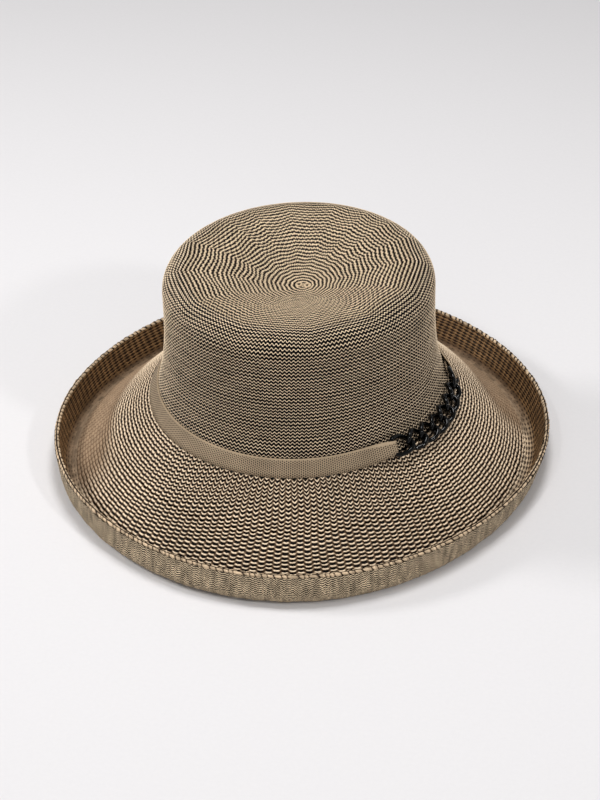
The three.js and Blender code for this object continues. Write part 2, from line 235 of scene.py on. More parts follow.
def foot_at(down, t, inset=0.0):
    out = FOOT_SPREAD * down - inset
    return oval(HEAD[0] / 2 + out, HEAD[1] / 2 + out, 0, BAND_TOP - FOOT_HEIGHT * down, t)


def plan_wave(t):
    return PLAN_WAVE * np.cos(4 * (t - WAVE_CREST))


def brim_sections(t):
    """The brim's section at each angle: where it starts, which way it runs and its driving angles."""
    root = foot_at(1.0, t)
    wave = plan_wave(t)
    turn = oval(TURN[0] / 2 + wave, TURN[1] / 2 + wave, -TURN_FORWARD, TURN_HEIGHT, t)
    wave = wave - RIM_ROLL
    rim = oval(RIM[0] / 2 + wave, RIM[1] / 2 + wave, RIM_BACK, RIM_HEIGHT - RIM_ROLL, t)
    out = turn - root
    out[..., 2] = 0
    out = out / np.linalg.norm(out, axis=-1, keepdims=True)

    def flat(point):
        reach = ((point - root) * out).sum(axis=-1)
        return np.stack([reach, point[..., 2]], axis=-1)

    turn_flat = flat(turn)
    to_turn = turn_flat - flat(root)
    to_rim = flat(rim) - turn_flat
    middle = UPPER_TURN + BRIM_DEPTH / 2
    turn_length = np.linalg.norm(to_turn, axis=-1)
    rim_length = np.linalg.norm(to_rim, axis=-1)
    return {
        "root": root,
        "out": out,
        "root_flat": flat(root),
        "turn_flat": turn_flat,
        "slope": np.arctan2(to_turn[..., 1], to_turn[..., 0]) - np.arcsin(UPPER_TURN / turn_length),
        "turn_end": np.arctan2(to_rim[..., 1], to_rim[..., 0]) - np.arccos(middle / rim_length),
        "wall": np.sqrt(rim_length ** 2 - middle ** 2),
    }


def heading(angle):
    return np.stack([np.cos(angle), np.sin(angle)], axis=-1)


def raised(section, flat):
    """Puts a point of the section's own plane back round the hat."""
    point = section["root"] * np.array([1.0, 1.0, 0.0]) + section["out"] * flat[..., 0:1]
    return point + np.array([0.0, 0.0, 1.0]) * flat[..., 1:2]


# Brim surface: course 0 is the root under the band, then slope, and turn with wall to the rim
def brim_at(course, t, inset=0.0):
    section = brim_sections(t)
    inset = np.broadcast_to(inset, t.shape)
    radius = UPPER_TURN + inset
    normal = heading(section["slope"] + np.pi / 2)
    start = section["root_flat"] - normal * inset[..., None]
    touch = section["turn_flat"] - normal * radius[..., None]
    share = np.minimum(course / SLOPE_COURSES, 1)[..., None]
    slope = start + (touch - start) * share

    turn_start = section["slope"] - np.pi / 2
    arc = radius * (section["turn_end"] - turn_start)
    travelled = (course - SLOPE_COURSES) / TURN_COURSES * (arc + section["wall"])
    angle = turn_start + np.clip(travelled / arc, 0, 1) * (section["turn_end"] - turn_start)
    turn = section["turn_flat"] + heading(angle) * radius[..., None]
    wall_way = heading(section["turn_end"] + np.pi / 2)
    wall = turn + wall_way * np.maximum(travelled - arc, 0)[..., None]
    flat = np.where((course <= SLOPE_COURSES)[..., None], slope, wall)
    return raised(section, flat)


def rim_centre(t):
    section = brim_sections(t)
    foot = section["turn_flat"] + heading(section["turn_end"]) * (UPPER_TURN + BRIM_DEPTH / 2)
    up = heading(section["turn_end"] + np.pi / 2)
    return section, foot + up * section["wall"][..., None], section["turn_end"]


def outward(surface, course, t, inset=0.0):
    """The surface's unit normal, away from the head."""
    step = 1e-3
    along = surface(course, t + step, inset) - surface(course, t - step, inset)
    down = surface(course + step, t, inset) - surface(course - step, t, inset)
    normal = np.cross(down, along)
    size = np.linalg.norm(normal, axis=-1, keepdims=True)
    normal = normal / np.maximum(size, 1e-12)
    return np.where(size > 1e-9, normal, np.array([0.0, 0.0, 1.0]))


# The chain's run round the foot of the crown
def unit(vector):
    return vector / np.linalg.norm(vector)


def foot_frame(angle):
    step = 1e-3
    one = np.array([angle])
    middle = foot_at(0.5, one)[0]
    along = unit(foot_at(0.5, one + step)[0] - foot_at(0.5, one - step)[0])
    down = unit(foot_at(1.0, one)[0] - foot_at(0.0, one)[0])
    return middle, along, down, unit(-np.cross(along, down))


def chain_point(angle, end):
    share = np.clip((angle - CHAIN_START) / (end - CHAIN_START), 0, 1)
    bow = np.sin(np.pi * share)
    middle, along, down, out = foot_frame(angle)
    lean = -mix(CHAIN_LEAN, CHAIN_FAR_LEAN, share) * bow
    leant = out * np.cos(lean) + np.cross(along, out) * np.sin(lean)
    return middle + down * CHAIN_SAG * bow + out * (BAR_HEIGHT + CHAIN_LIFT * bow), leant


def chain_angles(end, distances):
    """Angles along the chain's middle line at distances from its start; fewer if it ends before."""
    angles = np.linspace(CHAIN_START, end, 401)
    points = np.array([chain_point(angle, end)[0] for angle in angles])
    travelled = np.concatenate([[0], np.cumsum(np.linalg.norm(np.diff(points, axis=0), axis=1))])
    return [float(np.interp(d, travelled, angles)) for d in distances if d <= travelled[-1]]


def link_places():
    """Each link's middle, and its directions along the chain, up the crown and out."""
    whole = LINK_LENGTH + (LINK_COUNT - 1) * LINK_PITCH
    near, far = CHAIN_START, CHAIN_START + np.pi
    for _ in range(24):
        middle = (near + far) / 2
        if chain_angles(middle, [whole]):
            far = middle
        else:
            near = middle
    places = []
    for angle in chain_angles(far + 1e-6, [LINK_LENGTH / 2 + i * LINK_PITCH for i in range(LINK_COUNT)]):
        point, out = chain_point(angle, far)
        along = unit(chain_point(angle + 0.01, far)[0] - chain_point(angle - 0.01, far)[0])
        down = unit(np.cross(along, out))
        places.append((point, along, -down, np.cross(down, along)))
    return places


def link_ring(turn, held_start, held_end):
    """The wire's middle line in a link's own directions; a held end is squared off to a bar."""
    held = np.where(np.cos(turn) < 0, held_start, held_end)
    power = np.where(held, 2 / HELD_SQUARENESS, 1.0)
    x = LINK_LENGTH / 2 * np.sign(np.cos(turn)) * np.abs(np.cos(turn)) ** power
    y = LINK_WIDTH / 2 * np.sign(np.sin(turn)) * np.abs(np.sin(turn)) ** power
    first = 0 if held_start else LINK_TWIST
    last = 0 if held_end else -LINK_TWIST
    twist = mix(first, last, x / LINK_LENGTH + 0.5)
    return np.stack([x, y * np.cos(twist), y * np.sin(twist)], axis=-1)


# Making of meshes
def deselect():
    if bpy.context.object and bpy.context.object.mode != "OBJECT":
        bpy.ops.object.mode_set(mode="OBJECT")
    bpy.ops.object.select_all(action="DESELECT")


def edit_all(*steps):
    """Runs edit mode steps on the whole active mesh."""
    bpy.ops.object.mode_set(mode="EDIT")
    bpy.ops.mesh.select_all(action="SELECT")
    for step in steps:
        step()
    bpy.ops.object.mode_set(mode="OBJECT")


def take_on(piece, node, material):
    """The piece rides with the hat and stands for the named solid."""
    piece.data.materials.clear()
    piece.data.materials.append(material)
    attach(piece, "root")
    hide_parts(node)


def shaped_grid(name, columns, rows, shape, wrapped=False):
    """A grid that a function lays in place. Columns run round the hat and rows across it.

    The function gets two shares from 0 to 1 and returns points in millimetres and the
    stitch coordinates that the materials read. A wrapped grid closes on itself both ways,
    like a ring of wire.
    """
    deselect()
    bpy.ops.mesh.primitive_grid_add(x_subdivisions=columns, y_subdivisions=rows, size=1)
    piece = bpy.context.object
    piece.name = name
    piece.data.name = name
    mesh = piece.data
    flat = np.empty(len(mesh.vertices) * 3)
    mesh.vertices.foreach_get("co", flat)
    flat = flat.reshape(-1, 3)
    across = np.round((flat[:, 0] + 0.5) * columns) / columns
    down = np.round((flat[:, 1] + 0.5) * rows) / rows
    points, stitch = shape(across, down)
    mesh.vertices.foreach_set("co", ((points + CENTRING) * MM).ravel())
    corners = np.empty(len(mesh.loops), dtype=np.int64)
    mesh.loops.foreach_get("vertex_index", corners)
    attribute = mesh.attributes.new("stitch", "FLOAT_VECTOR", "CORNER")
    attribute.data.foreach_set("vector", stitch[corners].astype(np.float32).ravel())
    mesh.update()
    edit_all(lambda: bpy.ops.mesh.remove_doubles(threshold=0.000002))
    if wrapped:
        edit_all(lambda: bpy.ops.mesh.normals_make_consistent(inside=False))
    deselect()
    piece.select_set(True)
    bpy.context.view_layer.objects.active = piece
    bpy.ops.object.shade_smooth()
    return piece


def cord_height(phase):
    """Height of a course's cord over its width, 0 in the gaps and 1 on its back."""
    return np.clip(np.sin(np.pi * (phase % 1.0)), 0, 1) ** 0.75


# Materials
def linear(code):
    """An sRGB hex colour as linear RGBA."""
    values = [int(code[i:i + 2], 16) / 255 for i in (1, 3, 5)]
    return tuple(v / 12.92 if v <= 0.04045 else ((v + 0.055) / 1.055) ** 2.4 for v in values) + (1.0,)


def add_node(tree, kind, settings=None, values=None, links=None):
    """Adds a node; values and links go to its inputs by name or number."""
    node = tree.nodes.new(kind)
    for key, value in (settings or {}).items():
        setattr(node, key, value)
    for key, value in (values or {}).items():
        node.inputs[key].default_value = value
    for key, source in (links or {}).items():
        tree.links.new(source, node.inputs[key])
    return node


def new_material(name):
    material = bpy.data.materials.new(name)
    material.use_nodes = True
    tree = material.node_tree
    tree.nodes.clear()
    shader = add_node(tree, "ShaderNodeBsdfPrincipled")
    add_node(tree, "ShaderNodeOutputMaterial", links={"Surface": shader.outputs["BSDF"]})
    return material, tree, shader


def feed(tree, socket, value):
    """Sets a socket to a number or a hex code, or links an output to it."""
    if isinstance(value, str):
        socket.default_value = linear(value)
    elif isinstance(value, (int, float)):
        socket.default_value = value
    else:
        tree.links.new(value, socket)


def calc(tree, operation, *operands):
    """One Math node; each operand is a number or an output."""
    node = add_node(tree, "ShaderNodeMath", {"operation": operation})
    for place, operand in enumerate(operands):
        feed(tree, node.inputs[place], operand)
    return node.outputs[0]


def stitch_parts(tree):
    """The three stitch coordinates that a piece carries."""
    stitch = add_node(tree, "ShaderNodeAttribute", {"attribute_name": "stitch"})
    return add_node(tree, "ShaderNodeSeparateXYZ", links={0: stitch.outputs["Vector"]}).outputs


def object_place(tree):
    return add_node(tree, "ShaderNodeTexCoord").outputs["Object"]


def flat_place(tree, x, y):
    return add_node(tree, "ShaderNodeCombineXYZ", links={"X": x, "Y": y}).outputs[0]


def noise(tree, place, scale, detail, roughness=0.5, dimensions="2D"):
    node = add_node(tree, "ShaderNodeTexNoise", {"noise_dimensions": dimensions},
                    {"Scale": scale, "Detail": detail, "Roughness": roughness}, {"Vector": place})
    return node.outputs["Fac"]


def ramp(tree, value, low, high, first=0.0, last=1.0):
    """Goes softly from the first number to the last while the value goes from low to high."""
    node = add_node(tree, "ShaderNodeMapRange", {"interpolation_type": "SMOOTHSTEP"},
                    {"From Min": low, "From Max": high, "To Min": first, "To Max": last}, {"Value": value})
    return node.outputs[0]


def zigzag(tree, value):
    """1 at whole numbers and 0 halfway between them."""
    return calc(tree, "ABSOLUTE", calc(tree, "MULTIPLY_ADD", calc(tree, "FRACT", value), 2.0, -1.0))


def varied(tree, value, size, around):
    """A number that a value from 0 to 1 moves up and down."""
    return calc(tree, "MULTIPLY_ADD", calc(tree, "SUBTRACT", value, 0.5), size, around)


def blend(tree, factor, first, second, blend_type="MIX"):
    """Blends two colours, each a hex code or an output."""
    node = add_node(tree, "ShaderNodeMix", {"data_type": "RGBA", "blend_type": blend_type},
                    links={"Factor": factor})
    feed(tree, node.inputs["A"], first)
    feed(tree, node.inputs["B"], second)
    return node.outputs["Result"]


def toned(tree, colour, value):
    """A hex code or an output made lighter or darker."""
    node = add_node(tree, "ShaderNodeHueSaturation", links={"Value": value})
    feed(tree, node.inputs["Color"], colour)
    return node.outputs[0]


def coat(tree, shader, colour, roughness, gloss):
    feed(tree, shader.inputs["Base Color"], colour)
    feed(tree, shader.inputs["Roughness"], roughness)
    feed(tree, shader.inputs["Specular IOR Level"], gloss)


def roughen(tree, shader, height, strength, distance):
    """Adds a relief too fine for the mesh; the distance is in metres."""
    bump = add_node(tree, "ShaderNodeBump", values={"Strength": strength, "Distance": distance},
                    links={"Height": height})
    tree.links.new(bump.outputs[0], shader.inputs["Normal"])


def tape_yarn(name, light, flank_shade, deep, gap=0.36, dash=0.0, pinch=0.0, tone_spread=0.2, spread=0.4,
              opened_and_shaded=None):
    """Viscose tape yarn, machine knitted: cords with a painted highlight on their backs and painted shade
    down their flanks, over gaps painted near black as shade.

    The stitch coordinates give the stitch along the course, the course, and how full the cord is.
    gap is the share of a course that stays dark, dash fills it at the stitches' ends, and pinch thins the
    cord there. light is the cord's colour in its painted highlight, flank_shade its colour in painted shade
    and deep the painted shade of the gaps. opened_and_shaded gives two courses and the tint that the knit
    takes on between them, partly as it opens up and partly painted shade.
    """
    material, tree, shader = new_material(name)
    cell, course, full = stitch_parts(tree)
    # 0 in the gap and 1 on the back of the cord
    back = calc(tree, "SUBTRACT", 1.0, zigzag(tree, course))
    # a thin cord leaves a wider gap, and neighbouring stitches close it now and then
    across = zigzag(tree, cell)
    width = calc(tree, "MULTIPLY_ADD", calc(tree, "SUBTRACT", full, 1.0), 0.7, back)
    width = calc(tree, "MULTIPLY_ADD", across, dash, width)
    ends = ramp(tree, across, 0.55, 1.0, last=pinch)
    # loose fibres roughen the cord's outline
    stretched = flat_place(tree, calc(tree, "MULTIPLY", cell, 2.3), calc(tree, "MULTIPLY", course, 9.0))
    fibre = noise(tree, stretched, 1.0, 2.0, 0.6)
    width = varied(tree, fibre, 0.22, width)
    yarn = ramp(tree, width, gap, gap + 0.11)
    # the painted highlight lies along the cord's back and gives way to painted shade down its flanks
    crest = ramp(tree, width, gap + 0.05, gap + spread)
    # where a cord steps to the next cell, cord and gap cross in a thin brown link
    away = calc(tree, "SUBTRACT", 1.0, ends)
    shown = calc(tree, "MULTIPLY_ADD", yarn, away, calc(tree, "MULTIPLY", ends, 0.6))
    # where the knit closes up, the backs of the cords lie flat and get less of the painted highlight
    closed = ramp(tree, full, 1.05, 1.5, 1.0, 0.15)
    lit = calc(tree, "MULTIPLY", calc(tree, "MULTIPLY", crest, away), closed)
    # every stitch has its own tone
    whole = flat_place(tree, calc(tree, "FLOOR", cell), calc(tree, "FLOOR", course))
    tone = add_node(tree, "ShaderNodeTexWhiteNoise", {"noise_dimensions": "2D"}, links={"Vector": whole})
    cloud = noise(tree, object_place(tree), 28.0, 3.0, dimensions="3D")
    value = varied(tree, fibre, 0.3, 1.0)
    value = varied(tree, tone.outputs["Value"], tone_spread, value)
    value = varied(tree, cloud, 0.3, value)
    # the cord goes from the painted shade of its flanks to the painted highlight on its back
    tape = toned(tree, blend(tree, lit, flank_shade, light), value)
    # the gaps take the deep colour, painted near black as shade
    colour = blend(tree, shown, deep, tape)
    if opened_and_shaded:
        # the knit opening up lets its dark inlay show more and more, and painted shade darkens the upturn's
        # wall
        first, last, tint = opened_and_shaded
        colour = blend(tree, ramp(tree, course, first, last), colour, tint, "MULTIPLY")
    coat(tree, shader, colour, 0.5, 0.1)
    roughen(tree, shader, calc(tree, "MULTIPLY_ADD", fibre, 0.3, crest), 0.5, 0.0004)
    return material


def fine_mesh_yarn(name, light, deep):
    """The same yarn knitted close: a low mesh of small zigzags with crumpled upright streaks, over gaps
    painted dark as shade.
    """
    material, tree, shader = new_material(name)
    u, v, _ = stitch_parts(tree)
    # whole columns slip up or down against their neighbours
    column = flat_place(tree, calc(tree, "MULTIPLY", u, 0.45), calc(tree, "MULTIPLY", v, 0.05))
    slip = noise(tree, column, 1.0, 2.0, 0.7)
    v = calc(tree, "MULTIPLY_ADD", slip, 3.0, v)
    course = calc(tree, "MULTIPLY_ADD", zigzag(tree, u), 0.8, v)
    back = calc(tree, "SUBTRACT", 1.0, zigzag(tree, course))
    grain_at = flat_place(tree, calc(tree, "MULTIPLY", u, 3.1), calc(tree, "MULTIPLY", v, 2.3))
    width = varied(tree, noise(tree, grain_at, 1.0, 1.0), 1.0, back)
    streak = noise(tree, column, 2.3, 2.0)
    yarn = toned(tree, light, varied(tree, streak, 1.5, 0.95))
    # the deep colour between the zigzags is painted shade
    coat(tree, shader, blend(tree, ramp(tree, width, 0.4, 0.6), deep, yarn), 0.7, 0.12)
    roughen(tree, shader, calc(tree, "ADD", slip, width), 0.8, 0.0004)
    return material


def black_enamel(name):
    """Cast zinc with thick gloss black enamel: sharp small highlights on deep black."""
    material, tree, shader = new_material(name)
    film = noise(tree, object_place(tree), 900.0, 2.0, dimensions="3D")
    rough = add_node(tree, "ShaderNodeMapRange", values={"To Min": 0.02, "To Max": 0.06},
                     links={"Value": film})
    coat(tree, shader, blend(tree, film, "#020202", "#060607"), rough.outputs[0], 0.24)
    roughen(tree, shader, film, 0.04, 0.0002)
    return material


def knitted_ribbon(name):
    """Close matt ribbon knit: plain tan with columns of tiny dark pores, and edges without any."""
    material, tree, shader = new_material(name)
    u, v, _ = stitch_parts(tree)
    # the pores of one column lie between those of the next
    row = calc(tree, "MULTIPLY_ADD", v, 8.0, calc(tree, "MULTIPLY", calc(tree, "FLOOR", u), 0.5))
    near = calc(tree, "MULTIPLY", calc(tree, "SUBTRACT", 1.0, zigzag(tree, u)),
                calc(tree, "SUBTRACT", 1.0, zigzag(tree, row)))
    pore = ramp(tree, near, 0.08, 0.42)
    border = ramp(tree, calc(tree, "ABSOLUTE", calc(tree, "MULTIPLY_ADD", v, 2.0, -1.0)), 0.88, 1.0)
    cloud = noise(tree, object_place(tree), 60.0, 4.0, dimensions="3D")
    value = calc(tree, "MULTIPLY_ADD", border, 0.08, varied(tree, cloud, 0.7, 1.0))
    inside = calc(tree, "SUBTRACT", 1.0, border)
    depth = calc(tree, "MULTIPLY", calc(tree, "MULTIPLY", pore, inside), 0.9)
    coat(tree, shader, blend(tree, depth, toned(tree, "#b09b80", value), "#2e2318"), 0.8, 0.25)
    roughen(tree, shader, calc(tree, "SUBTRACT", 1.0, depth), 0.4, 0.0003)
    return material


def sweep_paper(name):
    """Matt white sweep paper."""
    material, tree, shader = new_material(name)
    grain = noise(tree, object_place(tree), 400.0, 2.0, dimensions="3D")
    coat(tree, shader, blend(tree, grain, "#e0dedf", "#e4e2e3"), 0.9, 0.1)
    return material


class HatSettings(bpy.types.PropertyGroup):
    crown_waves: IntProperty(name="Crown waves", description="Zigzags of one course round the crown",
                             default=202, min=60)
    brim_cells: IntProperty(name="Brim cells", description="Stitches of one course round the brim",
                            default=182, min=60)
    cord_relief: FloatProperty(name="Cord relief", description="Height of a course over its gaps",
                               default=0.0013, unit="LENGTH", min=0.0)
    wave_size: FloatProperty(name="Wave size", description="Zigzag of a crown course, in courses",
                             default=0.3, min=0.0, max=0.5)


def put_relief(surface, course, t, height, relief, inset=0.0):
    """Lays points on a surface and lifts them; the backs of the cords stand a third proud."""
    return surface(course, t, inset) + outward(surface, course, t, inset) * (
        (height - 0.65) * relief)[..., None]


def cornered(t):
    """1 at the corners of the top's rings and -1 in the middle of each side."""
    corners = np.concatenate([TOP_CORNERS, [TOP_CORNERS[0] + TAU]])
    turn = (t - TOP_CORNERS[0]) % TAU + TOP_CORNERS[0]
    wedge = np.clip(np.searchsorted(corners, turn, side="right") - 1, 0, len(TOP_CORNERS) - 1)
    middle = (corners[wedge] + corners[wedge + 1]) / 2
    half = (corners[wedge + 1] - corners[wedge]) / 2
    return (np.abs(turn - middle) / half) ** 1.7 * 2 - 1


def crown_line(course, t, waves, size):
    """Where a crown course runs: cornered on top, and in small even waves on the side."""
    corner = smooth(1, 12, course) * smooth(SIDE_START + 4, DISH_COURSES - 3, course)
    uneven = 1 + 0.35 * np.sin(course * 0.45 + 3 * t) + 0.9 * np.exp(-((t + 1.71) / 0.3) ** 2)
    waved = smooth(DISH_COURSES - 6, DISH_COURSES + 4, course)
    even = np.sin(waves * t + ripple(t, 11, 14, 0.5) + 0.12 * course)
    stray = 0.05 * np.sin(3 * t + course * 0.9) + 0.04 * np.sin(17 * t - course * 1.7)
    small = 0.12 * np.sin(11 * t + course * 0.7) + 0.11 * np.sin(84 * t - course * 2.3)
    small = small + 0.1 * np.sin(131 * t + 3 * np.sin(7 * t) + course * 1.9)
    line = course + 0.016 * course * corner * uneven * cornered(t)
    line = line + waved * (size * even + stray) + (1 - waved) * smooth(0, 6, course) * small
    return np.clip(line, 0, CROWN_END)


class HAT_OT_crown(bpy.types.Operator):
    """Knits the outside of the crown: side, shoulder and sunken top"""
    bl_idname = "hat.crown"
    bl_label = "Crown"

    def execute(self, context):
        settings = context.scene.hat_settings
        waves = settings.crown_waves
        relief = settings.cord_relief / MM
        size = settings.wave_size
        yarn = tape_yarn("Viscose tape yarn, crown knit", "#fbe3c2", "#84684e", "#020101",
                         gap=0.56, spread=0.24)
        # the top's yarn is a darker copy of the side's, which paints shade on the top
        dotted = tape_yarn("Viscose tape yarn, top knit in painted shade", "#dcc5a4", "#6b5747", "#020101",
                           gap=0.58, dash=0.4)

        def stretch(first, last):
            def shape(across, down):
                t = np.pi - TAU * across
                course = mix(first, last, down)
                height = cord_height(course)
                full = 0.9 + 0.1 * np.cos(2 * waves * t) + 0.06 * ripple(t + course * 0.4, 31, 40)
                line = crown_line(course, t, waves, size)
                # the ribbon presses the knit flat, all round but behind the chain
                free = smooth_turn(40, 52, t) * smooth_turn(118, 108, t)
                pressed = mix(1.0, 0.25, smooth(FOOT_START - 0.6, FOOT_START + 0.6, course))
                pressed = np.maximum(pressed, free)
                # along the ribbon's upper edge the cord draws in and its gap widens, which lays a line of
                # painted dark shade between ribbon and crown
                seam_shade = smooth(FOOT_START - 0.5, FOOT_START - 0.15, course) * smooth(
                    FOOT_START + 0.7, FOOT_START + 0.3, course)
                full = mix(full, 0.2, seam_shade * (1 - free))
                dent = CHAIN_DENT * free * smooth(FOOT_START - 2, FOOT_START + 1, course)
                points = put_relief(crown_at, line, t, height * np.clip(full, 0, 1), relief * pressed, dent)
                return points, np.stack([t / TAU * waves * 2, course, full], axis=-1)
            return shape

        side = shaped_grid("crown_side_knit", waves * 4, SIDE_COURSES * 4, stretch(SIDE_START, FOOT_START))
        take_on(side, "crown", yarn)
        foot = shaped_grid("crown_foot_knit", waves * 4, FOOT_COURSES * 4, stretch(FOOT_START, CROWN_END))
        take_on(foot, "crown", yarn)
        shoulder = shaped_grid("crown_shoulder_knit", waves * 4, SHOULDER_COURSES * 4,
                               stretch(DISH_COURSES, SIDE_START))
        take_on(shoulder, "crown", yarn)

        def shape(across, down):
            t = np.pi - TAU * across
            course = DISH_COURSES * down
            line = crown_line(course, t, waves, size)
            low = mix(0.5, 1.0, smooth(DISH_COURSES - 4, DISH_COURSES, course))
            points = put_relief(crown_at, line, t, cord_height(course), relief * low)
            # each ring has more stitches than the one inside it
            stitches = np.round(np.floor(course) * 12 + 10)
            full = 0.97 + 0.08 * ripple(t + course * 0.3, 7, 30)
            even = 0.9 + 0.1 * np.cos(2 * waves * t)
            full = mix(full, even, smooth(DISH_COURSES - 5, DISH_COURSES, course))
            return points, np.stack([t / TAU * stitches, course, full], axis=-1)

        top = shaped_grid("crown_top_knit", waves * 4, DISH_COURSES * 4, shape)
        take_on(top, "crown", dotted)
        return {"FINISHED"}


class HAT_OT_lining(bpy.types.Operator):
    """Knits the inside of the crown"""
    bl_idname = "hat.lining"
    bl_label = "Inside of the crown"

    def execute(self, context):
        # the inside's yarn is painted darker than the outside's, as shade within the crown
        inside = fine_mesh_yarn("Viscose tape yarn, wrong side of the crown in painted shade", "#9c876d", "#2a2018")
        last = CROWN_END - 1

        def shape(across, down):
            t = -np.pi + TAU * across
            course = last * down
            inset = CROWN_WALL - 0.2 * cord_height(course)
            stitch = np.stack([t / TAU * LINING_STITCHES, course, np.zeros_like(t)], axis=-1)
            return crown_at(course, t, inset), stitch

        piece = shaped_grid("crown_inside_knit", 240, last * 2, shape)
        take_on(piece, "crown", inside)
        return {"FINISHED"}


def brim_line(course, t, cells):
    """A brim course: bows in cells that alternate by half a course, V-shaped by the band.

    Gives how far the course strays from its line, in courses, how full its cord is and the cell.
    """
    cell = t / TAU * cells + 0.12 * np.sin(7 * t + course * 0.35)
    place = (cell % 1.0) - 0.5
    # round the sides the courses run straighter
    straight = smooth_turn(28, 62, np.abs(t - np.radians(14)))
    step = mix(0.25, 0.06, straight)
    side = np.where(np.floor(cell).astype(int) % 2 == 0, step, -step)
    low = smooth(2, 18, course)
    wall = smooth(SLOPE_COURSES - 1, SLOPE_COURSES + 3, course)
    edge = smooth(0.5, mix(0.34, 0.42, low), np.abs(place))
    bow = mix(mix(0.75, 0.16, low), 0.0, wall) * (0.4 - np.abs(place) * 2) * (1 - 0.7 * straight)
    stray = 0.05 * np.sin(31 * t + course * 2.1) + 0.08 * np.sin(5 * t + course * 0.7)
    # the cord thins where it steps to the next cell, and swells at both tips of its bow, where it also
    # carries more painted highlight
    full = mix(0.8, 1.0, smooth(0.5, 0.32, np.abs(place)))
    full = full - 0.1 * smooth(0.18, 0.0, np.abs(place)) + 0.14 * straight
    # the knit closes up in the bend at the sides and the back, where the cords get little of the painted
    # highlight
    bend = smooth(9, 21, course) * smooth(SLOPE_COURSES + 7, SLOPE_COURSES + 0.5, course)
    bend = bend * smooth_turn(45, 85, -t) + bend * smooth_turn(95, 130, t)
    full = mix(mix(full, 0.95, wall), 2.1, bend)
    return side * edge * mix(1.0, 0.1, wall) + bow + stray, full, cell


class HAT_OT_brim(bpy.types.Operator):
    """Knits the upper side of the brim and the inside of its upturned rim"""
    bl_idname = "hat.brim"
    bl_label = "Brim"

    def execute(self, context):
        settings = context.scene.hat_settings
        cells = settings.brim_cells
        relief = settings.cord_relief / MM
        # from the end of the slope the knit darkens, partly as it opens up and partly as painted shade on
        # the upturn's wall
        opened_and_shaded = (SLOPE_COURSES - 1, SLOPE_COURSES + 5, "#86735d")
        yarn = tape_yarn("Viscose tape yarn, brim knit", "#fde5c5", "#876b51", "#020101",
                         gap=0.46, pinch=0.75, spread=0.36, opened_and_shaded=opened_and_shaded)
        # the upturn's yarn is a darker, lower contrast copy of the brim's, painted as shade on the wall,
        # with its knit more open and ribbed
        shaded = tape_yarn("Viscose tape yarn, opened knit of the upturn", "#ecd5b6", "#8a735c", "#5d4f42",
                           gap=0.72, dash=0.85, spread=0.3, tone_spread=0.6, opened_and_shaded=opened_and_shaded)

        def stretch(first, last, depth):
            def shape(across, down):
                t = np.pi - TAU * across
                course = mix(first, last, down)
                stray, full, cell = brim_line(course, t, cells)
                height = mix(cord_height(course) * full, 0.7, smooth(1.0, 1.4, full) * 0.8)
                line = np.clip(course + stray, 0, BRIM_END)
                # on the upturn the cells' edges stand up as ribs
                rib = np.abs((cell % 1.0) * 2 - 1) ** 2
                height = np.maximum(height, rib * smooth(SLOPE_COURSES + 1, SLOPE_COURSES + 4, course))
                points = put_relief(brim_at, line, t, height, relief * depth)
                return points, np.stack([cell, course, full], axis=-1)
            return shape

        half = SLOPE_COURSES // 2
        inner = shaped_grid("brim_slope_inner_knit", cells * 6, half * 4, stretch(0, half, 1.0))
        take_on(inner, "brim", yarn)
        outer = shaped_grid("brim_slope_outer_knit", cells * 6, half * 4, stretch(half, SLOPE_COURSES, 1.0))
        take_on(outer, "brim", yarn)
        turned = shaped_grid("brim_upturn_knit", cells * 4, TURN_COURSES * 4,
                             stretch(SLOPE_COURSES, SLOPE_COURSES + TURN_COURSES, 0.5))
        take_on(turned, "brim", shaded)
        return {"FINISHED"}


class HAT_OT_facing(bpy.types.Operator):
    """Knits the fine facing under the brim and outside the upturn"""
    bl_idname = "hat.facing"
    bl_label = "Brim facing"

    def execute(self, context):
        yarn = fine_mesh_yarn("Viscose tape yarn, fine facing knit", "#dcc5a4", "#040201")

        def stretch(first, last):
            def shape(across, down):
                t = -np.pi + TAU * across
                course = mix(first, last, down)
                low = 0.16 * ripple(t, 21, 60) + 0.10 * np.sin(190 * t + 2 * ripple(t, 22, 12))
                points = brim_at(course, t, BRIM_DEPTH + low)
                stitch = np.stack(
                    [t / TAU * FACING_STITCHES, course * FACING_ROWS, np.zeros_like(t)], axis=-1)
                return points, stitch
            return shape

        outer = shaped_grid("facing_upturn_knit", 910, 26, stretch(SLOPE_COURSES, BRIM_END))
        take_on(outer, "brim_facing", yarn)
        under = shaped_grid("facing_underside_knit", 455, 52, stretch(0, SLOPE_COURSES))
        take_on(under, "brim_facing", yarn)
        return {"FINISHED"}


